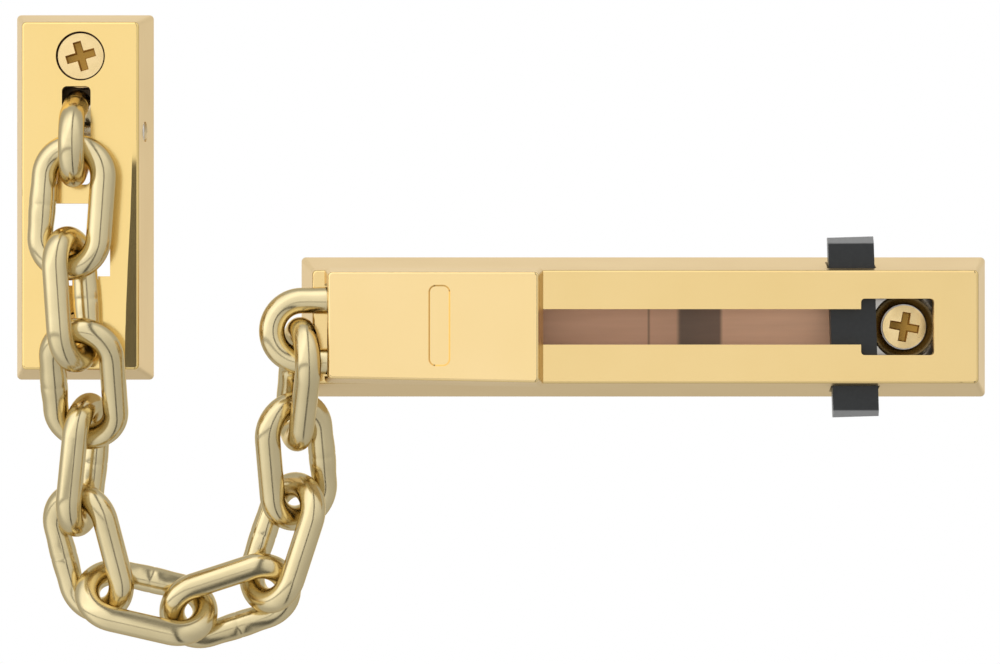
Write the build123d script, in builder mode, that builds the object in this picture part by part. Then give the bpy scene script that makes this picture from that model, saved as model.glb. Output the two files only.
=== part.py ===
from build123d import *
import os
from math import cos, radians, sin, tan

os.makedirs("parts", exist_ok=True)

# Door chain: a slotted rail with its slider on the door, an anchor plate on the frame, and twelve
# welded links between them, hung as they hang with the door shut.
# X runs along the rail towards its keyhole, Z is up, and the door's face is the plane Y = 0, with
# every piece standing off it towards -Y. Sketches lie on planes parallel to the door: inside them
# x is X, y is Z, and an extrusion comes off the door. Lengths are millimetres, angles are degrees.

# Castings
CAST_DRAFT = 9.25
CAST_WALL = 3.0
CAST_EDGE = 0.5
CAST_CORNER = 0.9
RUN_GAP = 0.3

# Rail
RAIL_LENGTH = 135.0
RAIL_WIDTH = 27.5
RAIL_DEPTH = 17.0
SLOT_WIDTH = 6.9
KEYHOLE_INSET = 18.5
KEYHOLE_LENGTH = 14.2
KEYHOLE_WIDTH = 11.0
KEYHOLE_CORNER = 0.7
SCREW_INSET_LEFT = 16.1
SCREW_INSET_RIGHT = 16.3
SCREW_PAD = 5.8
SCREW_SEAT = 3.3
SCREW_BOWL = 40.0
RIB_LENGTH = 4.0
RIB_HEIGHT = 6.0

# Release bar and the leaf spring that lifts it
BAR_INSET = 26.85
BAR_WIDTH = 8.9
BAR_LENGTH = 35.1
BAR_HEIGHT = 4.0
BAR_BEVEL = 1.3
BAR_SKEW = 1.75
SPRING_THICK = 0.8
SPRING_WIDTH = 9.0
SPRING_FOOT = 12.0
SPRING_INSET = 21.5
RIVET_SHANK = 3.0
RIVET_HEAD = 5.0
RIVET_HEAD_HEIGHT = 0.7

# Slider, with the foot that runs under the slot
SLIDER_INSET = 5.1
SLIDER_LENGTH = 42.5
SLIDER_TOP = 11.5
SLIDER_BOTTOM = -11.7
SLIDER_TAPER = 0.85
SLIDER_HEIGHT = 7.5
SLIDER_DRAFT = 7.0
BADGE_INSET = 22.4
BADGE_Z = 0.25
BADGE_LENGTH = 15.7
BADGE_WIDTH = 4.2
BADGE_DEPTH = 0.35
BADGE_DRAFT = 40.0
BADGE_CORNER = 1.4
FOOT_INSET = 33.7
FOOT_HEAD = 3.0
FOOT_NECK_LENGTH = 10.0
FOOT_SIDE_GAP = 0.2
FOOT_KEY_GAP = 0.55
SPIGOT_DIAMETER = 5.0
SPIGOT_LENGTH = 4.0

# Welded chain, with proportions to the short link pattern
LINK_WIRE = 5.0
LINK_LENGTH = 5.7 * LINK_WIRE
LINK_WIDTH = 3.36 * LINK_WIRE
LAST_LINK_INSET = 6.7
LAST_LINK_Z = -0.8
LINK_PIN_FROM_MOUTH = 3.5
LINK_PIN_DIAMETER = 4.4
LINK_PIN_SEAT = 1.1
MOUTH_GAP = 0.4

# Anchor plate
PLATE_LENGTH = 72.0
PLATE_WIDTH = 27.0
PLATE_DEPTH = 13.0
PLATE_SCREW_INSET = 8.7
PLATE_PIN_RISE = 12.7
PLATE_PIN_SHIFT = -0.8
PLATE_PIN_DIAMETER = 4.0
PLATE_PIN_RECESS = 0.2
PLATE_PIN_BLIND = 1.3
PLATE_PIN_GAP = 0.2
LINK_SLOT_GAP = 0.3
LINK_SLOT_LENGTH = 19.2
LINK_SLOT_DROP = 0.9
LINK_SLOT_CORNER = 1.0
LINK_SLOT_WEB = 3.4
LINK_SLOT_WEB_HEIGHT = 1.5
WINDOW_WIDTH = 11.6
WINDOW_HEIGHT = 14.2
WINDOW_DROP = 8.6
WINDOW_NOTCH = 1.8
PILLAR_DIAMETER = 12.2
PLATE_SEAT = 10.4
PLATE_SINK_DIAMETER = 9.6

# Wood screws with a cross recess
SCREW_HEAD_RAIL = 8.5
SCREW_HEAD_PLATE = 8.9
SCREW_RIM = 1.6
SCREW_DOME = 0.45
SCREW_SHANK = 4.2
SCREW_REACH = 28.0
SCREW_POINT = 5.0
SCREW_HOLE_GAP = 0.2
CROSS_LENGTH = 5.9
CROSS_ARM = 1.7
CROSS_DEPTH = 1.6
CROSS_DRAFT = 10.0
CROSS_TURN_LEFT = 35.0
CROSS_TURN_RIGHT = -10.0
CROSS_TURN_TOP = 16.0
CROSS_TURN_BOTTOM = 40.0

# Places of the links as they hang, from link 11 at the slider to link 1 in the plate, in wire
# diameters from the middle of the last link: along X, up, and off the door. Then the heading of the
# link in the door's plane, its nod off the door, and its roll about its own length.
HANG = [
    (-1.34, -2.08, -0.71, -98, -35, 72),
    (-1.48, -5.10, -1.97, -86, -19, -31),
    (-2.04, -8.30, -2.39, -108, -1, 45),
    (-4.10, -10.60, -2.75, -162, 0, -30),
    (-7.38, -10.66, -2.47, 167, 2, 42),
    (-9.66, -8.70, -2.59, 104, 8, -31),
    (-9.82, -5.24, -2.03, 84, 5, 73),
    (-9.70, -2.06, -0.77, 92, 28, -7),
    (-10.08, 1.22, 0.29, 94, -1, 66),
    (-10.10, 4.80, 0.15, 86, -1, -12),
    (-10.04, 7.50, -1.09, 90, -77, 90),
]

# Places along the rail, each from the end that it goes with
rail_left = -RAIL_LENGTH / 2
rail_right = RAIL_LENGTH / 2
keyhole_x = rail_right - KEYHOLE_INSET
bar_x = rail_right - BAR_INSET
screw_left_x = rail_left + SCREW_INSET_LEFT
screw_right_x = rail_right - SCREW_INSET_RIGHT
spring_left = rail_left + SPRING_INSET
slider_left = rail_left + SLIDER_INSET
foot_x = slider_left + FOOT_INSET
last_link_x = rail_left + LAST_LINK_INSET

# Heights off the door
wall_inside = RAIL_DEPTH - CAST_WALL
foot_high = wall_inside - RUN_GAP
foot_low = foot_high - FOOT_HEAD
bar_low = foot_high - BAR_HEIGHT
spring_low = bar_low - SPRING_THICK
slider_low = RAIL_DEPTH + RUN_GAP
last_link_high = slider_low + LINK_WIRE / 2
mouth_height = LINK_WIRE + 2 * RUN_GAP
notch_low = bar_low - FOOT_HEAD - 2 * RUN_GAP
screw_hole = SCREW_SHANK + 2 * SCREW_HOLE_GAP


def off_door(x, z, height):
    """Plane parallel to the door, at a height off it, with its origin at x and z."""
    return Plane(origin=(x, -height, z), x_dir=(1, 0, 0), z_dir=(0, -1, 0))


def wood_screw(x, z, seat, head_diameter, turn):
    """Domed wood screw whose head bears at the seat height, with its cross turned."""
    side_on = Plane(origin=(x, -seat, z), x_dir=(1, 0, 0), z_dir=(0, 0, -1))
    head = head_diameter / 2
    shank = SCREW_SHANK / 2
    with BuildPart() as screw:
        with BuildSketch(side_on):
            with BuildLine():
                Polyline(
                    (0, SCREW_RIM + SCREW_DOME),
                    (0, -SCREW_REACH),
                    (shank, -SCREW_REACH + SCREW_POINT),
                    (shank, 0),
                    (head, 0),
                    (head, SCREW_RIM),
                )
                TangentArc((0, SCREW_RIM + SCREW_DOME), (head, SCREW_RIM), tangent=(1, 0))
            make_face()
        revolve(axis=Axis((x, -seat, z), (0, -1, 0)))
        with BuildSketch(off_door(x, z, seat + SCREW_RIM + SCREW_DOME)):
            Rectangle(CROSS_LENGTH, CROSS_ARM, rotation=turn)
            Rectangle(CROSS_ARM, CROSS_LENGTH, rotation=turn)
        extrude(amount=-CROSS_DEPTH, taper=CROSS_DRAFT, mode=Mode.SUBTRACT)
    return screw.part


def save(part, node):
    """Label a finished piece and write it."""
    part.label = node
    export_step(part, f"parts/{node}.step")


# Rail: a drafted casting, hollow from behind, with pads for its screws, a foot for the spring
# and a rib across its middle.
rail_inside = RAIL_WIDTH - 2 * CAST_WALL
pad_left = bar_x + BAR_WIDTH / 2 + RUN_GAP
cavity_end = RAIL_LENGTH / 2 - CAST_WALL
slot_left = foot_x - FOOT_NECK_LENGTH / 2 - FOOT_SIDE_GAP
rivet_x = spring_left + SPRING_FOOT / 2
with BuildPart() as rail:
    with BuildSketch(off_door(0, 0, 0)):
        Rectangle(RAIL_LENGTH, RAIL_WIDTH)
    extrude(amount=RAIL_DEPTH, taper=CAST_DRAFT)
    fillet([edge for edge in rail.edges() if abs((edge % 0.5).Y) > 0.9], CAST_CORNER)
    fillet(rail.faces().sort_by(Axis.Y)[0].edges(), CAST_EDGE)
    with BuildSketch(off_door(0, 0, 0)):
        Rectangle(RAIL_LENGTH - 2 * CAST_WALL, rail_inside)
    extrude(amount=wall_inside, taper=CAST_DRAFT, mode=Mode.SUBTRACT)
    with BuildSketch(off_door((pad_left + cavity_end) / 2, 0, 0)):
        Rectangle(cavity_end - pad_left, rail_inside)
    extrude(amount=SCREW_PAD)
    with BuildSketch(off_door((spring_left - cavity_end) / 2, 0, 0)):
        Rectangle(cavity_end + spring_left, rail_inside)
    extrude(amount=SCREW_PAD)
    with BuildSketch(off_door(rivet_x, 0, 0)):
        Rectangle(SPRING_FOOT, rail_inside)
    extrude(amount=spring_low)
    with BuildSketch(off_door(0, 0, 0)):
        Rectangle(RIB_LENGTH, rail_inside)
    extrude(amount=RIB_HEIGHT)
    with BuildSketch(off_door(bar_x, 0, notch_low)):
        Rectangle(BAR_WIDTH + 2 * RUN_GAP, RAIL_WIDTH, rotation=BAR_SKEW)
    extrude(amount=wall_inside - notch_low, mode=Mode.SUBTRACT)
    with BuildSketch(off_door(0, 0, RAIL_DEPTH)):
        with Locations(((slot_left + keyhole_x) / 2, 0)):
            Rectangle(keyhole_x - slot_left, SLOT_WIDTH)
        with Locations((keyhole_x, 0)):
            RectangleRounded(KEYHOLE_LENGTH, KEYHOLE_WIDTH, KEYHOLE_CORNER)
        with Locations((screw_left_x, 0)):
            Circle(SCREW_HEAD_RAIL / 2 + FOOT_KEY_GAP)
    extrude(amount=-CAST_WALL, mode=Mode.SUBTRACT)
    for screw_x in (screw_left_x, screw_right_x):
        with BuildSketch(off_door(screw_x, 0, SCREW_SEAT)):
            Circle(SCREW_HEAD_RAIL / 2 + SCREW_HOLE_GAP)
        extrude(amount=SCREW_PAD - SCREW_SEAT, taper=-SCREW_BOWL, mode=Mode.SUBTRACT)
    with BuildSketch(off_door(0, 0, SCREW_SEAT)):
        with Locations((screw_left_x, 0), (screw_right_x, 0)):
            Circle(screw_hole / 2)
    extrude(amount=-SCREW_SEAT, mode=Mode.SUBTRACT)
    with BuildSketch(off_door(rivet_x, 0, spring_low)):
        Circle(RIVET_SHANK / 2)
    extrude(amount=-spring_low, mode=Mode.SUBTRACT)
save(rail.part, "rail")

# Leaf spring: a flat strip along the slot, riveted at its left end and free under the release bar.
spring_right = bar_x + BAR_WIDTH / 2 - RUN_GAP
with BuildPart() as leaf_spring:
    with BuildSketch(off_door((spring_left + spring_right) / 2, 0, spring_low)):
        Rectangle(spring_right - spring_left, SPRING_WIDTH)
    extrude(amount=SPRING_THICK)
    with BuildSketch(off_door(rivet_x, 0, spring_low)):
        Circle(RIVET_SHANK / 2)
    extrude(amount=SPRING_THICK, mode=Mode.SUBTRACT)
save(leaf_spring.part, "leaf_spring")

with BuildPart() as spring_rivet:
    with BuildSketch(off_door(rivet_x, 0, 0)):
        Circle(RIVET_SHANK / 2)
    extrude(amount=bar_low)
    with BuildSketch(off_door(rivet_x, 0, bar_low)):
        Circle(RIVET_HEAD / 2)
    extrude(amount=RIVET_HEAD_HEIGHT)
    fillet(spring_rivet.faces().sort_by(Axis.Y)[0].edges(), RIVET_HEAD_HEIGHT / 2)
save(spring_rivet.part, "spring_rivet")

# Release bar: lies across the rail under the slot's wall, a little askew in its notches.
with BuildPart() as release_bar:
    with BuildSketch(off_door(bar_x, 0, bar_low)):
        Rectangle(BAR_WIDTH, BAR_LENGTH, rotation=BAR_SKEW)
    extrude(amount=BAR_HEIGHT)
    bar_front = release_bar.faces().sort_by(Axis.Y)[0].edges().sort_by(Axis.Z)
    chamfer([bar_front[0], bar_front[-1]], BAR_BEVEL)
save(release_bar.part, "release_bar")

rail_screws = [("left", screw_left_x, CROSS_TURN_LEFT), ("right", screw_right_x, CROSS_TURN_RIGHT)]
for side, screw_x, turn in rail_screws:
    save(wood_screw(screw_x, 0, SCREW_SEAT, SCREW_HEAD_RAIL, turn), f"rail_screw_{side}")

# Slider: a drafted cap whose open left end takes the last link over a pin.
slider_right = slider_left + SLIDER_LENGTH
mouth_right = last_link_x + LINK_LENGTH / 2 + MOUTH_GAP
mouth_width = LINK_WIDTH + 2 * MOUTH_GAP
mouth_top = slider_low + mouth_height
link_pin_x = slider_left + LINK_PIN_FROM_MOUTH
with BuildPart() as slider:
    with BuildSketch(off_door(0, 0, slider_low)):
        with BuildLine():
            Polyline(
                (slider_left, SLIDER_TOP),
                (slider_right, SLIDER_TOP),
                (slider_right, SLIDER_BOTTOM),
                (slider_left, SLIDER_BOTTOM + SLIDER_TAPER),
                close=True,
            )
        make_face()
    extrude(amount=SLIDER_HEIGHT, taper=SLIDER_DRAFT)
    fillet([edge for edge in slider.edges() if abs((edge % 0.5).Y) > 0.9], CAST_CORNER)
    fillet(slider.faces().sort_by(Axis.Y)[0].edges(), CAST_EDGE)
    with BuildSketch(off_door((slider_left + mouth_right) / 2, LAST_LINK_Z, slider_low)):
        Rectangle(mouth_right - slider_left, mouth_width)
    extrude(amount=mouth_height, mode=Mode.SUBTRACT)
    with BuildSketch(off_door(link_pin_x, LAST_LINK_Z, mouth_top)):
        Circle(LINK_PIN_DIAMETER / 2)
    extrude(amount=LINK_PIN_SEAT, mode=Mode.SUBTRACT)
    with BuildSketch(off_door(slider_left + BADGE_INSET, BADGE_Z, slider_low + SLIDER_HEIGHT)):
        RectangleRounded(BADGE_WIDTH, BADGE_LENGTH, BADGE_CORNER)
    extrude(amount=-BADGE_DEPTH, taper=BADGE_DRAFT, mode=Mode.SUBTRACT)
    with BuildSketch(off_door(foot_x, 0, slider_low)):
        Circle(SPIGOT_DIAMETER / 2)
    extrude(amount=SPIGOT_LENGTH, mode=Mode.SUBTRACT)
save(slider.part, "slider")

with BuildPart() as slider_foot:
    with BuildSketch(off_door(foot_x, 0, foot_low)):
        Rectangle(KEYHOLE_LENGTH - 2 * FOOT_KEY_GAP, KEYHOLE_WIDTH - 2 * FOOT_KEY_GAP)
    extrude(amount=FOOT_HEAD)
    with BuildSketch(off_door(foot_x, 0, foot_high)):
        Rectangle(FOOT_NECK_LENGTH, SLOT_WIDTH - 2 * FOOT_SIDE_GAP)
    extrude(amount=slider_low - foot_high)
    with BuildSketch(off_door(foot_x, 0, slider_low)):
        Circle(SPIGOT_DIAMETER / 2)
    extrude(amount=SPIGOT_LENGTH)
save(slider_foot.part, "slider_foot")

with BuildPart() as link_pin:
    with BuildSketch(off_door(link_pin_x, LAST_LINK_Z, slider_low)):
        Circle(LINK_PIN_DIAMETER / 2)
    extrude(amount=mouth_height + LINK_PIN_SEAT)
save(link_pin.part, "link_pin")

# Chain: one link bent flat from round wire, then set in its twelve places.
half_leg = (LINK_LENGTH - LINK_WIDTH) / 2
bow = (LINK_WIDTH - LINK_WIRE) / 2
with BuildPart() as flat_link:
    with BuildLine():
        Line((-half_leg, bow), (half_leg, bow))
        CenterArc((half_leg, 0), bow, 90, -180)
        Line((half_leg, -bow), (-half_leg, -bow))
        CenterArc((-half_leg, 0), bow, -90, -180)
    with BuildSketch(Plane.YZ.offset(-half_leg)):
        with Locations((bow, 0)):
            Circle(LINK_WIRE / 2)
    sweep()


def link_plane(place):
    """Plane of a hanging link: its x runs along the link, its y across it."""
    along, up, off, heading, nod, roll = place
    turn = radians(heading)
    lift = radians(nod)
    lean = radians(roll)
    length_dir = Vector(cos(lift) * cos(turn), -sin(lift), cos(lift) * sin(turn))
    level = Vector(-sin(turn), 0, cos(turn))
    face_dir = length_dir.cross(level)
    across = level * cos(lean) + face_dir * sin(lean)
    origin = (
        last_link_x + along * LINK_WIRE,
        -last_link_high - off * LINK_WIRE,
        LAST_LINK_Z + up * LINK_WIRE,
    )
    return Plane(origin=origin, x_dir=length_dir, z_dir=length_dir.cross(across))


save(off_door(last_link_x, LAST_LINK_Z, last_link_high).location * flat_link.part, "link_12")
for step, place in enumerate(HANG):
    save(link_plane(place).location * flat_link.part, f"link_{len(HANG) - step}")

# Anchor plate: placed by its cross pin, which lies in the inner end of the first link.
first_link = link_plane(HANG[-1])
pin_reach = LINK_LENGTH / 2 - LINK_WIRE - PLATE_PIN_DIAMETER / 2 - PLATE_PIN_GAP
pin_middle = first_link.origin + first_link.x_dir * pin_reach
pin_x = pin_middle.X
pin_z = pin_middle.Z
pin_high = -pin_middle.Y
plate_x = pin_x - PLATE_PIN_SHIFT
plate_z = pin_z - PLATE_PIN_RISE
plate_front = PLATE_DEPTH - CAST_WALL
plate_top = PLATE_LENGTH / 2 - CAST_WALL
web_low = PLATE_PIN_RISE - LINK_SLOT_DROP + LINK_SLOT_LENGTH / 2 - LINK_SLOT_WEB
screw_rise = PLATE_LENGTH / 2 - PLATE_SCREW_INSET
pin_half = PLATE_WIDTH / 2 - pin_high * tan(radians(CAST_DRAFT))
pin_left = plate_x - pin_half + PLATE_PIN_BLIND
with BuildPart() as plate:
    with BuildSketch(off_door(plate_x, plate_z, 0)):
        Rectangle(PLATE_WIDTH, PLATE_LENGTH)
    extrude(amount=PLATE_DEPTH, taper=CAST_DRAFT)
    fillet([edge for edge in plate.edges() if abs((edge % 0.5).Y) > 0.9], CAST_CORNER)
    fillet(plate.faces().sort_by(Axis.Y)[0].edges(), CAST_EDGE)
    with BuildSketch(off_door(plate_x, plate_z, 0)):
        Rectangle(PLATE_WIDTH - 2 * CAST_WALL, PLATE_LENGTH - 2 * CAST_WALL)
    extrude(amount=plate_front, taper=CAST_DRAFT, mode=Mode.SUBTRACT)
    with BuildSketch(off_door(plate_x, plate_z, 0)):
        with Locations((0, screw_rise), (0, -screw_rise)):
            Circle(PILLAR_DIAMETER / 2)
    extrude(amount=plate_front)
    with BuildSketch(off_door(plate_x, plate_z, 0)):
        with Locations((0, (web_low + plate_top) / 2)):
            Rectangle(PLATE_WIDTH - 2 * CAST_WALL, plate_top - web_low)
    extrude(amount=LINK_SLOT_WEB_HEIGHT)
    with BuildSketch(off_door(plate_x, plate_z, PLATE_DEPTH)):
        with Locations((0, screw_rise), (0, -screw_rise)):
            Circle(PLATE_SINK_DIAMETER / 2)
    extrude(amount=PLATE_SEAT - PLATE_DEPTH, mode=Mode.SUBTRACT)
    with BuildSketch(off_door(plate_x, plate_z, PLATE_SEAT)):
        with Locations((0, screw_rise), (0, -screw_rise)):
            Circle(screw_hole / 2)
    extrude(amount=-PLATE_SEAT, mode=Mode.SUBTRACT)
    with BuildSketch(off_door(plate_x, plate_z, PLATE_DEPTH)):
        with Locations((PLATE_PIN_SHIFT, PLATE_PIN_RISE - LINK_SLOT_DROP)):
            RectangleRounded(LINK_WIRE + 2 * LINK_SLOT_GAP, LINK_SLOT_LENGTH, LINK_SLOT_CORNER)
        with Locations((0, -WINDOW_DROP)):
            Rectangle(WINDOW_WIDTH, WINDOW_HEIGHT)
        with Locations((0, -WINDOW_DROP - WINDOW_HEIGHT / 2)):
            Rectangle(SLOT_WIDTH, 2 * WINDOW_NOTCH)
    extrude(amount=-CAST_WALL, mode=Mode.SUBTRACT)
    with BuildSketch(Plane.YZ.offset(pin_left)):
        with Locations((-pin_high, pin_z)):
            Circle(PLATE_PIN_DIAMETER / 2)
    extrude(amount=PLATE_WIDTH, mode=Mode.SUBTRACT)
save(plate.part, "plate")

with BuildPart() as plate_pin:
    with BuildSketch(Plane.YZ.offset(pin_left)):
        with Locations((-pin_high, pin_z)):
            Circle(PLATE_PIN_DIAMETER / 2)
    extrude(amount=2 * pin_half - PLATE_PIN_RECESS - PLATE_PIN_BLIND)
save(plate_pin.part, "plate_pin")

plate_screws = [("top", screw_rise, CROSS_TURN_TOP), ("bottom", -screw_rise, CROSS_TURN_BOTTOM)]
for side, rise, turn in plate_screws:
    save(wood_screw(plate_x, plate_z + rise, PLATE_SEAT, SCREW_HEAD_PLATE, turn), f"plate_screw_{side}")
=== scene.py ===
from math import cos, pi, radians, sin

import bmesh
import bpy
from mathutils import Matrix, Vector


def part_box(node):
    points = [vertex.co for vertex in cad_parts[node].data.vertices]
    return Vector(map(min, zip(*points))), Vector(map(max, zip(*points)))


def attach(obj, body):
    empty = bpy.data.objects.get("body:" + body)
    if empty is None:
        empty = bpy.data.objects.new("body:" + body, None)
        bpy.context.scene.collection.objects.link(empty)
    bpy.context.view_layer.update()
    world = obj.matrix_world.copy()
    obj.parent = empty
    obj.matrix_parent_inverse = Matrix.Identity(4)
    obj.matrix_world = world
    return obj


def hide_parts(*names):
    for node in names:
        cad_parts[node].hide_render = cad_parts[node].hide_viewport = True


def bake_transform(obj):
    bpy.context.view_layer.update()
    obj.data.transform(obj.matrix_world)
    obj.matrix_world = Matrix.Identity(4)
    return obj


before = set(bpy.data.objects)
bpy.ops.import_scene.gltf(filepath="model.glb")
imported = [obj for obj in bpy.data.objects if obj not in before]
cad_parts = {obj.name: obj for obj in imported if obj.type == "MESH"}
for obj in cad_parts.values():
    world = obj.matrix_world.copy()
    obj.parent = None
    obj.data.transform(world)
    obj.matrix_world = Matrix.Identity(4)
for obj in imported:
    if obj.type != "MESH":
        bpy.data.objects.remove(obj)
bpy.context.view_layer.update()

# Studio. The chain is seen square on against plain white, with one large soft lamp above to the left
# and weaker ones to the right and overhead. The lamps light the metal, and don't show in it.
scene = bpy.context.scene
scene.view_settings.view_transform = "Standard"
camera = bpy.data.objects.new("camera", bpy.data.cameras.new("camera"))
camera.data.sensor_width = 36
camera.data.lens = 191.3
camera.location = (-0.0283, -1.050, -0.0010)
camera.rotation_euler = (pi / 2, 0, 0)
scene.collection.objects.link(camera)
scene.camera = camera
lamp_aim = Vector((-0.03, 0, 0))


def soft_lamp(name, place, width, power):
    data = bpy.data.lights.new(name, "AREA")
    data.size = width
    data.energy = power
    lamp = bpy.data.objects.new(name, data)
    lamp.location = place
    lamp.rotation_euler = (lamp_aim - Vector(place)).to_track_quat("-Z", "Y").to_euler()
    lamp.visible_glossy = False
    scene.collection.objects.link(lamp)


soft_lamp("lamp_above_left", (-0.75, -0.95, 1.05), 1.0, 9)
soft_lamp("lamp_right", (1.1, -0.8, 0.25), 0.8, 3)
soft_lamp("lamp_overhead", (0.0, -0.18, 1.25), 0.5, 4)


# Floor and white ground. The camera sees plain white. The metal sees the studio: a bright screen round
# the lens with a dark gap along its right and lower edges, a room that is lighter up to the left, dim
# sides, and the white ground close behind.
class Tone:
    """One value of a finish, kept as a node's output, with sums that add Math nodes."""

    def __init__(self, tree, output=None):
        self.tree = tree
        self.output = output

    def feed(self, made, values):
        for name, value in values.items():
            if isinstance(value, Tone):
                self.tree.links.new(value.output, made.inputs[name])
            else:
                made.inputs[name].default_value = value

    def node(self, kind, settings, values, out=0):
        made = self.tree.nodes.new(kind)
        for name, value in settings.items():
            if name == "stops":
                ramp = made.color_ramp
                ramp.elements[0].position, ramp.elements[0].color = value[0]
                ramp.elements[1].position, ramp.elements[1].color = value[-1]
                for place, colour in value[1:-1]:
                    ramp.elements.new(place).color = colour
            else:
                setattr(made, name, value)
        self.feed(made, values)
        return Tone(self.tree, made.outputs[out])

    def math(self, operation, first, second):
        return self.node("ShaderNodeMath", {"operation": operation}, {0: first, 1: second})

    def __add__(self, other):
        return self.math("ADD", self, other)

    def __sub__(self, other):
        return self.math("SUBTRACT", self, other)

    def __mul__(self, other):
        return self.math("MULTIPLY", self, other)

    def __radd__(self, other):
        return self.math("ADD", other, self)

    def __rsub__(self, other):
        return self.math("SUBTRACT", other, self)

    def __rmul__(self, other):
        return self.math("MULTIPLY", other, self)


def rise(value, low, high):
    """A soft step from 0 at low to 1 at high."""
    settings = {"interpolation_type": "SMOOTHSTEP"}
    return value.node("ShaderNodeMapRange", settings, {"Value": value, "From Min": low, "From Max": high})


def blend_tones(share, first, second):
    """Colour between two, by a share from 0 to 1."""
    return share.node("ShaderNodeMix", {"data_type": "RGBA"}, {0: share, 6: first, 7: second}, 2)


world = bpy.data.worlds.new("studio")
world.use_nodes = True
scene.world = world
room = Tone(world.node_tree)
facing = room.node("ShaderNodeTexCoord", {}, {}, "Generated")
rightward = room.node("ShaderNodeSeparateXYZ", {}, {0: facing}, 0)
backward = room.node("ShaderNodeSeparateXYZ", {}, {0: facing}, 1)
upward = room.node("ShaderNodeSeparateXYZ", {}, {0: facing}, 2)
downward = -1 * upward
gap_right = rise(rightward, 0.13, 0.16) * (1 - rise(rightward, 0.27, 0.33))
gap_below = rise(downward, 0.13, 0.16) * (1 - rise(downward, 0.24, 0.30)) * (1 - rise(rightward, 0.0, 0.1))
screen_gap = room.math("MAXIMUM", gap_right, 0.7 * gap_below)
leftward_up = upward - rightward
lens_screen = 1 - rise(rightward * rightward + upward * upward, 0.015, 0.08)
softbox = rise(leftward_up, 0.70, 0.90) * (1 - rise(leftward_up, 1.10, 1.30))
walls = 0.98 + 0.30 * leftward_up + 0.25 * softbox
screen = (walls + (1.05 - walls) * lens_screen) * (1 - 0.93 * screen_gap)
dim_sides = screen + (0.56 - screen) * rise(backward, -0.30, 0.30)
ground = 1.06 - 0.43 * rise(downward, 0.05, 0.30) - 0.14 * rise(rightward, 0.10, 0.40)
seen_room = dim_sides + (ground - dim_sides) * rise(backward, 0.80, 0.90)
camera_ray = room.node("ShaderNodeLightPath", {}, {}, "Is Camera Ray")
glossy_ray = room.node("ShaderNodeLightPath", {}, {}, "Is Glossy Ray")
clear_ray = room.node("ShaderNodeLightPath", {}, {}, "Is Transmission Ray")
soft_grey = blend_tones(glossy_ray, (0.5, 0.5, 0.5, 1), seen_room)
white_seen = blend_tones(camera_ray + clear_ray, soft_grey, (1, 1, 1, 1))
room.feed(world.node_tree.nodes["Background"], {"Color": white_seen, "Strength": 1.0})


def new_finish(name):
    """A new material, with its tones and its shader."""
    material = bpy.data.materials.new(name)
    material.use_nodes = True
    return material, Tone(material.node_tree), material.node_tree.nodes["Principled BSDF"]


def made_piece(form, name, material):
    """An object of the formed mesh, in its finish."""
    mesh = bpy.data.meshes.new(name)
    form.to_mesh(mesh)
    form.free()
    mesh.materials.append(material)
    piece = bpy.data.objects.new(name, mesh)
    scene.collection.objects.link(piece)
    return piece


pale_floor, floor_tone, floor_shader = new_finish("pale_floor")
floor_tone.feed(
    floor_shader,
    {
        "Base Color": (0.90, 0.90, 0.90, 1),
        "Roughness": 0.8,
        "Emission Color": (1, 1, 1, 1),
        "Emission Strength": 0.25,
    },
)
floor_place = Matrix.Translation((0, 0, -0.32))
floor_form = bmesh.new()
bmesh.ops.create_grid(floor_form, x_segments=1, y_segments=1, size=3, matrix=floor_place)
floor = made_piece(floor_form, "floor", pale_floor)
floor.visible_glossy = False


# Castings: the rail, the slider and the anchor plate, die cast, plated and buffed. Their fronts are
# bright yellow gold, their drafted sides are left satin and look more tan, and their hollow backs
# are unpolished, with shade painted into them as a near black colour. Lengths here are in millimetres.
def millimetres(place):
    """Places across, off the door and up, in millimetres."""
    across, back, upright = [place.node("ShaderNodeSeparateXYZ", {}, {0: place}, axis) for axis in range(3)]
    return 1000 * across, -1000 * back, 1000 * upright


def within(value, low, high):
    """1 between two limits, and 0 outside them."""
    return value.math("GREATER_THAN", value, low) * value.math("LESS_THAN", value, high)


def mottle(place, scale, detail):
    return place.node("ShaderNodeTexNoise", {}, {"Vector": place, "Scale": scale, "Detail": detail})


def relief(height, strength, distance):
    values = {"Strength": strength, "Distance": distance, "Height": height}
    return height.node("ShaderNodeBump", {}, values)


def from_axis(across, upright, screw):
    """The square of the distance from a screw's axis."""
    low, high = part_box(screw)
    off_x = across - 500 * (low.x + high.x)
    off_z = upright - 500 * (low.z + high.z)
    return off_x * off_x + off_z * off_z


def inside_walls(node, wall):
    """Left, right, low and high limits of a casting's hollow, inside its walls."""
    low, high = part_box(node)
    return 1000 * low.x + wall, 1000 * high.x - wall, 1000 * low.z + wall, 1000 * high.z - wall


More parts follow.
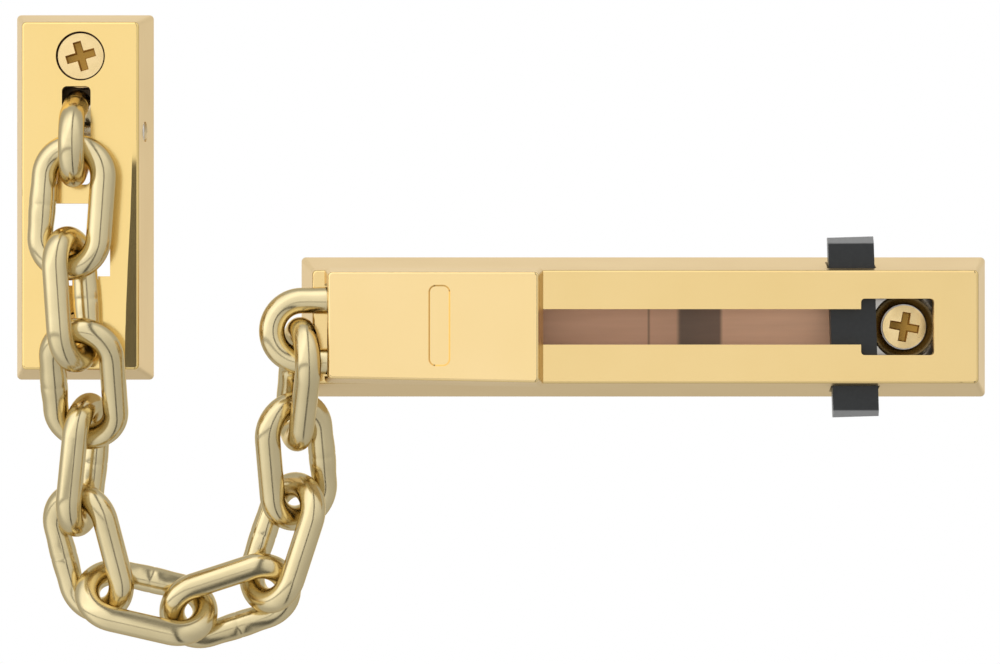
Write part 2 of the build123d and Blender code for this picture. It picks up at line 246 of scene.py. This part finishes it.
def casting_finish(node, hollow, roof, polish, bright, wells=None, fall=None):
    """Finish of one casting. Wells are the sunk places round its screws, given a dark tint that paints
    in their shade and dark reflection, and fall is a front edge that drops away a little, wider towards
    the foot, and so reflects the dark gap."""
    material, tone, shader = new_finish(f"{node}_gold")
    place = tone.node("ShaderNodeTexCoord", {}, {}, "Object")
    across, height, upright = millimetres(place)
    front = -1000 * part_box(node)[0].y
    left, right, low, high = hollow
    buffed = rise(height, front - polish - 0.15, front - polish + 0.15)
    inside = within(across, left, right) * within(upright, low, high)
    inside = inside * tone.math("LESS_THAN", height, front - roof)
    haze = mottle(place, 55.0, 3.0)
    grain = mottle(place, 900.0, 2.0)
    deeper = (bright[0] * 0.98, bright[1] * 0.96, bright[2] * 0.88, 1)
    satin = blend_tones(haze, (0.96, 0.77, 0.46, 1), (0.90, 0.70, 0.40, 1))
    # Painted shade: the hollow inside the walls, deeper than the roof, is coloured near black as shade.
    hollow_shade = blend_tones(haze, (0.13, 0.095, 0.055, 1), (0.06, 0.045, 0.03, 1))
    plated = blend_tones(buffed, satin, blend_tones(haze, bright, deeper))
    colour = blend_tones(inside, plated, hollow_shade)
    roughness = 0.33 - 0.22 * buffed - 0.1 * inside + 0.05 * haze
    ripple = relief(haze + 0.04 * grain, 0.03, 0.0004)
    # Painted shade: the sunk wells round the screws take a dark tint for their shade and dark reflection.
    if wells:
        sunk = within(height, wells["low"], wells["high"]) * sum(
            tone.math("LESS_THAN", from_axis(across, upright, screw), wells["radius"] ** 2)
            for screw in wells["screws"]
        )
        colour = blend_tones(sunk, colour, wells["tint"])
        roughness = roughness * (1 - 0.4 * sunk)
    if fall:
        width = fall["wide"] + (fall["narrow"] - fall["wide"]) * rise(upright, fall["foot"], fall["head"])
        dropped = tone.math("MAXIMUM", across - fall["edge"] + width + 0.8 * (haze - 0.5), 0.0)
        fading = 1 - rise(upright, fall["head"] - 4, fall["head"] + 4)
        ripple = tone.node(
            "ShaderNodeBump", {},
            {
                "Strength": 1.0,
                "Distance": 0.001,
                "Height": -fall["slope"] * dropped * fading,
                "Normal": ripple,
            },
        )
    tone.feed(
        shader,
        {
            "Base Color": colour,
            "Metallic": 1.0,
            "Specular Tint": (0.97, 0.88, 0.70, 1),
            "Roughness": roughness,
            "Normal": ripple,
        },
    )
    return material


def dress(node, material):
    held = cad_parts[node]
    held.data.materials.clear()
    held.data.materials.append(material)


rail_gold = casting_finish(
    "rail", inside_walls("rail", 2.9), roof=3.2, polish=0.4, bright=(0.850, 0.635, 0.298, 1),
    wells={
        "screws": ("rail_screw_left", "rail_screw_right"),
        # The rail wells' grey tint is a painted dark reflection in the dished recess round each screw.
        "radius": 8.2, "low": 3.1, "high": 6.0, "tint": (0.45, 0.43, 0.40, 1),
    },
)
# The slider's shade is painted into the pocket where the last link sits.
link_pocket = (-62.6, -46.2, -10.0, 8.4)
slider_gold = casting_finish(
    "slider", link_pocket, roof=2.0, polish=0.7, bright=(0.925, 0.700, 0.350, 1),
)
plate_gold = casting_finish(
    "plate", inside_walls("plate", 2.6), roof=3.1, polish=0.4, bright=(0.930, 0.690, 0.292, 1),
    wells={
        "screws": ("plate_screw_top", "plate_screw_bottom"),
        # The plate wells' near black tint is painted shade in the ring round each screw head.
        "radius": 4.86, "low": 10.2, "high": 12.95, "tint": (0.05, 0.028, 0.012, 1),
    },
    fall={"edge": -98.9, "wide": 2.7, "narrow": 1.2, "foot": -8, "head": 34, "slope": 0.14},
)
dress("rail", rail_gold)
dress("slider", slider_gold)
dress("plate", plate_gold)


# Steel inside: the foot that runs under the slot, the pin that carries the last link, and the cross
# pin of the anchor plate, all turned or pressed from bright bar.
bright_pin, steel, steel_shader = new_finish("bright_pin")
turning = mottle(steel.node("ShaderNodeTexCoord", {}, {}, "Object"), 700.0, 3.0)
steel.feed(
    steel_shader,
    {
        "Base Color": blend_tones(turning, (0.66, 0.66, 0.65, 1), (0.80, 0.80, 0.79, 1)),
        "Metallic": 1.0,
        "Roughness": 0.18 + 0.2 * turning,
    },
)
for node in ("slider_foot", "link_pin", "plate_pin"):
    dress(node, bright_pin)


# Screws: four wood screws with low heads and a cross recess, brass plated and frosted, paler than the
# castings, with shade painted dark brown down in the recess. A rolled thread runs round each shank,
# behind the casting.
screw_dome = 0.45
recess_deep = 1.6


def screw_finish(node):
    """Frosted brass for one screw. The bump takes most of the dome off its head."""
    low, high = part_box(node)
    rim = -1000 * low.y - screw_dome
    head_radius = 500 * (high.x - low.x)
    material, tone, shader = new_finish(f"{node}_brass")
    place = tone.node("ShaderNodeTexCoord", {}, {}, "Object")
    across, height, upright = millimetres(place)
    struck = mottle(place, 420.0, 4.0)
    pale = blend_tones(struck, (0.99, 0.77, 0.42, 1), (0.90, 0.67, 0.31, 1))
    # Painted shade: the cross recess is coloured dark brown where shade falls in it.
    painted_recess_shade = rise(height, rim - recess_deep - 0.2, rim - recess_deep) * (1 - rise(height, rim - 0.6, rim))
    flattened = 0.85 * screw_dome / head_radius ** 2 * from_axis(across, upright, node)
    tone.feed(
        shader,
        {
            "Base Color": blend_tones(painted_recess_shade, pale, (0.38, 0.21, 0.045, 1)),
            "Metallic": 1.0,
            "Roughness": 0.20 + 0.12 * struck,
            "Normal": relief(flattened + 0.015 * struck, 1.0, 0.001),
        },
    )
    return material


thread_pitch = 0.0018
thread_start = 0.0016
thread_root = 0.0020
thread_crest = 0.0027
point_length = 0.0050
steps_per_turn = 24


def thread_ridge(node, material):
    """The ridge of the thread along a screw's shank, thinning down to its point."""
    low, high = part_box(node)
    axis = Vector(((low.x + high.x) / 2, 0, (low.z + high.z) / 2))
    turns = int((high.y - thread_start) / thread_pitch)
    ridge = [(thread_root, -0.25), (thread_crest, -0.05), (thread_crest, 0.05), (thread_root, 0.25)]
    form = bmesh.new()
    corners = []
    for radius, share in ridge:
        corners.append(form.verts.new(axis + Vector((radius, thread_start + share * thread_pitch, 0))))
    sides = [form.edges.new((corners[i - 1], corners[i])) for i in range(len(corners))]
    bmesh.ops.spin(
        form, geom=corners + sides, cent=axis, axis=(0, 1, 0), dvec=(0, thread_pitch / steps_per_turn, 0),
        angle=2 * pi * turns, steps=steps_per_turn * turns, use_merge=False,
    )
    bmesh.ops.holes_fill(form, edges=[edge for edge in form.edges if edge.is_boundary], sides=4)
    for vert in form.verts:
        thinned = min(1, max(0.02, (high.y - vert.co.y) / point_length))
        vert.co.x = axis.x + (vert.co.x - axis.x) * thinned
        vert.co.z = axis.z + (vert.co.z - axis.z) * thinned
        vert.co.y = min(vert.co.y, high.y)
    bmesh.ops.recalc_face_normals(form, faces=form.faces[:])
    thread = made_piece(form, f"{node}_thread", material)
    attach(thread, "base")


for node in ("rail_screw_left", "rail_screw_right", "plate_screw_top", "plate_screw_bottom"):
    screw_brass = screw_finish(node)
    dress(node, screw_brass)
    thread_ridge(node, screw_brass)


# Leaf spring: a copper brown strip under the slot, riveted at its left end. It lifts the release bar
# and bends down with it. A dark line and a darker band cross it, and its colour grows lighter towards
# its right end.
strip_low, strip_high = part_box("leaf_spring")
strip_size = strip_high - strip_low
strip_form = bmesh.new()
bmesh.ops.create_grid(
    strip_form, x_segments=64, y_segments=4, size=0.5,
    matrix=Matrix.Translation(((strip_low.x + strip_high.x) / 2, strip_low.y, 0))
    @ Matrix.Rotation(pi / 2, 4, "X")
    @ Matrix.Diagonal((strip_size.x, strip_size.z, 1, 1)),
)
strip_sheet = strip_form.faces[:]
bmesh.ops.recalc_face_normals(strip_form, faces=strip_sheet)
bmesh.ops.solidify(strip_form, geom=strip_sheet, thickness=strip_size.y)
bmesh.ops.recalc_face_normals(strip_form, faces=strip_form.faces[:])
strip_copper, strip, strip_shader = new_finish("strip_copper")
strip_place = strip.node("ShaderNodeTexCoord", {}, {}, "Object")
along = strip.node("ShaderNodeSeparateXYZ", {}, {0: strip_place}, 0)
strip_grain = strip.node("ShaderNodeMapping", {}, {"Vector": strip_place, "Scale": (60.0, 1.0, 900.0)})
rolled = mottle(strip_grain, 1.0, 3.0)
# Colour along the strip: a dark line, a darker band, and lighter towards the right end.
banded_strip_colour = strip.node(
    "ShaderNodeValToRGB",
    {"stops": [
        (0.0, (0.765, 0.460, 0.312, 1)),
        (0.512, (0.750, 0.452, 0.306, 1)),
        (0.515, (0.200, 0.130, 0.090, 1)),
        (0.518, (0.735, 0.440, 0.298, 1)),
        (0.575, (0.705, 0.425, 0.285, 1)),
        (0.583, (0.190, 0.130, 0.095, 1)),
        (0.668, (0.230, 0.150, 0.110, 1)),
        (0.676, (0.813, 0.500, 0.336, 1)),
        (1.0, (0.900, 0.570, 0.388, 1)),
    ]},
    {0: (along - strip_low.x) * (1 / strip_size.x)},
)
strip.feed(
    strip_shader,
    {
        "Base Color": strip.node(
            "ShaderNodeMix", {"data_type": "RGBA", "blend_type": "MULTIPLY"},
            {0: 0.35 * rolled, 6: banded_strip_colour, 7: (0.55, 0.50, 0.48, 1)}, 2,
        ),
        "Metallic": 0.25,
        "Roughness": 0.42 + 0.15 * rolled,
        "Normal": relief(rolled, 0.08, 0.0001),
    },
)
spring_strip = made_piece(strip_form, "spring_strip", strip_copper)
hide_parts("leaf_spring")
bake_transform(spring_strip)
dress("spring_rivet", strip_copper)


# Release bar: black moulded bar across the rail, satin, with bevelled ends that stand out above and
# below for the fingers. The bevels are painted lighter grey as a highlight, for the light they catch.
bar_black, bar, bar_shader = new_finish("bar_black")
bar_place = bar.node("ShaderNodeTexCoord", {}, {}, "Object")
spark = mottle(bar_place, 1500.0, 3.0)
bar_up = bar.node("ShaderNodeSeparateXYZ", {}, {0: bar_place}, 2)
# Painted highlight: the bevelled ends are coloured lighter grey for the light they catch.
painted_bevel_sheen = rise(1000 * bar.math("ABSOLUTE", bar_up, 0.0), 16.1, 16.5)
moulded = blend_tones(spark, (0.008, 0.009, 0.010, 1), (0.020, 0.022, 0.023, 1))
bar.feed(
    bar_shader,
    {
        "Base Color": blend_tones(painted_bevel_sheen, moulded, (0.200, 0.200, 0.198, 1)),
        "Roughness": 0.30 + 0.18 * spark,
        "Normal": relief(spark, 0.12, 0.0001),
    },
)
dress("release_bar", bar_black)


# Chain: twelve short links of round wire, bent cold and butt welded in the middle of one leg, then
# brass plated. The weld leaves a low collar with a seam round it.
wire = 0.0050
link_length = 5.7 * wire
link_width = 3.36 * wire
half_leg = (link_length - link_width) / 2
bow = (link_width - wire) / 2
seam_pinch = 0.025


def draw_on(form, edges, x, swell, spine):
    """Carry the open end of the wire on along its leg, to x, and swell or pinch it there."""
    grown = bmesh.ops.extrude_edge_only(form, edges=edges)["geom"]
    end = [part for part in grown if isinstance(part, bmesh.types.BMVert)]
    centre = Vector((x, spine, 0))
    now = sum((vert.co for vert in end), Vector()) / len(end)
    bmesh.ops.translate(form, verts=end, vec=centre - now)
    reach = (end[0].co - centre).length
    ratio = swell * wire / 2 / reach
    bmesh.ops.scale(form, verts=end, vec=(1, ratio, ratio), space=Matrix.Translation(-centre))
    return [part for part in grown if isinstance(part, bmesh.types.BMEdge) and part.is_boundary]


def bend_round(form, edges, x, turn):
    """Bend the open end of the wire half round at one end of the link."""
    spun = bmesh.ops.spin(
        form, geom=edges, cent=(x, 0, 0), axis=(0, 0, 1), angle=turn, steps=28, use_merge=False
    )
    return [part for part in spun["geom_last"] if isinstance(part, bmesh.types.BMEdge)]


def bent_link(side, swell):
    """One link lying flat along X, with its weld on the leg on that side."""
    form = bmesh.new()
    start = Matrix.Translation((0, side * bow, 0)) @ Matrix.Rotation(pi / 2, 4, "Y")
    bmesh.ops.create_circle(form, segments=32, radius=(swell - seam_pinch) * wire / 2, matrix=start)
    edges = form.edges[:]
    collar = [(0.0003, swell), (0.0014, swell), (0.0026, 0.4 + 0.6 * swell), (0.0040, 1.0)]
    for reach, size in collar:
        edges = draw_on(form, edges, reach, size, side * bow)
    edges = draw_on(form, edges, half_leg, 1.0, side * bow)
    edges = bend_round(form, edges, half_leg, -side * pi)
    edges = draw_on(form, edges, 0, 1.0, -side * bow)
    edges = draw_on(form, edges, -half_leg, 1.0, -side * bow)
    edges = bend_round(form, edges, -half_leg, -side * pi)
    for reach, size in reversed(collar):
        edges = draw_on(form, edges, -reach, size, side * bow)
    draw_on(form, edges, 0, swell - seam_pinch, side * bow)
    bmesh.ops.remove_doubles(form, verts=form.verts[:], dist=0.00001)
    bmesh.ops.recalc_face_normals(form, faces=form.faces[:])
    return form


chain_brass, chain, chain_shader = new_finish("chain_brass")
chain_place = chain.node("ShaderNodeAttribute", {"attribute_name": "flat_place"}, {}, "Vector")
wire_grain = chain.node("ShaderNodeMapping", {}, {"Vector": chain_place, "Scale": (90.0, 700.0, 700.0)})
drawn = mottle(wire_grain, 1.0, 4.0)
cloud = mottle(chain_place, 160.0, 3.0)
chain.feed(
    chain_shader,
    {
        "Base Color": blend_tones(0.5 * cloud + 0.5 * drawn, (0.82, 0.70, 0.43, 1), (0.66, 0.545, 0.30, 1)),
        "Metallic": 1.0,
        "Specular Tint": (0.85, 0.73, 0.52, 1),
        "Roughness": 0.13 + 0.12 * cloud,
        "Normal": relief(0.6 * cloud + 0.4 * drawn, 0.12, 0.0001),
    },
)

# Each place is along X, up and off the last link's middle in wire diameters, then the heading in the
# door's plane, the nod off the door, the roll, and the side and swell of the weld.
hang = [
    (0, 0, 0, 0, 0, 0, 1, 1.04),
    (-1.34, -2.08, -0.71, -98, -35, 72, -1, 1.05),
    (-1.48, -5.10, -1.97, -86, -19, -31, 1, 1.07),
    (-2.04, -8.30, -2.39, -108, -1, 45, -1, 1.05),
    (-4.10, -10.60, -2.75, -162, 0, -30, 1, 1.06),
    (-7.38, -10.66, -2.47, 167, 2, 42, -1, 1.05),
    (-9.66, -8.70, -2.59, 104, 8, -31, 1, 1.06),
    (-9.82, -5.24, -2.03, 84, 5, 73, -1, 1.05),
    (-9.70, -2.06, -0.77, 92, 28, -7, 1, 1.07),
    (-10.08, 1.22, 0.29, 94, -1, 66, -1, 1.05),
    (-10.10, 4.80, 0.15, 86, -1, -12, 1, 1.06),
    (-10.04, 7.50, -1.09, 90, -77, 90, 1, 1.03),
]
last_middle = Vector((-0.0608, -0.0198, -0.0008))
for number, place in zip(range(12, 0, -1), hang):
    along_x, up, off, heading, nod, roll, side, swell = place
    head, lift, lean = radians(heading), radians(nod), radians(roll)
    length_dir = Vector((cos(lift) * cos(head), -sin(lift), cos(lift) * sin(head)))
    level = Vector((-sin(head), 0, cos(head)))
    width_dir = level * cos(lean) + length_dir.cross(level) * sin(lean)
    turn = Matrix((length_dir, width_dir, length_dir.cross(width_dir))).transposed().to_4x4()
    spot = Matrix.Translation(last_middle + Vector((along_x, -off, up)) * wire)
    form = bent_link(side, swell)
    flat_place = form.verts.layers.float_vector.new("flat_place")
    for vert in form.verts:
        vert[flat_place] = vert.co + Vector((0, 0, 0.1 * number))
    bmesh.ops.transform(form, matrix=spot @ turn, verts=form.verts[:])
    for face in form.faces:
        face.smooth = True
    link = made_piece(form, f"welded_link_{number}", chain_brass)
    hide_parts(f"link_{number}")
    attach(link, f"link_{number}")
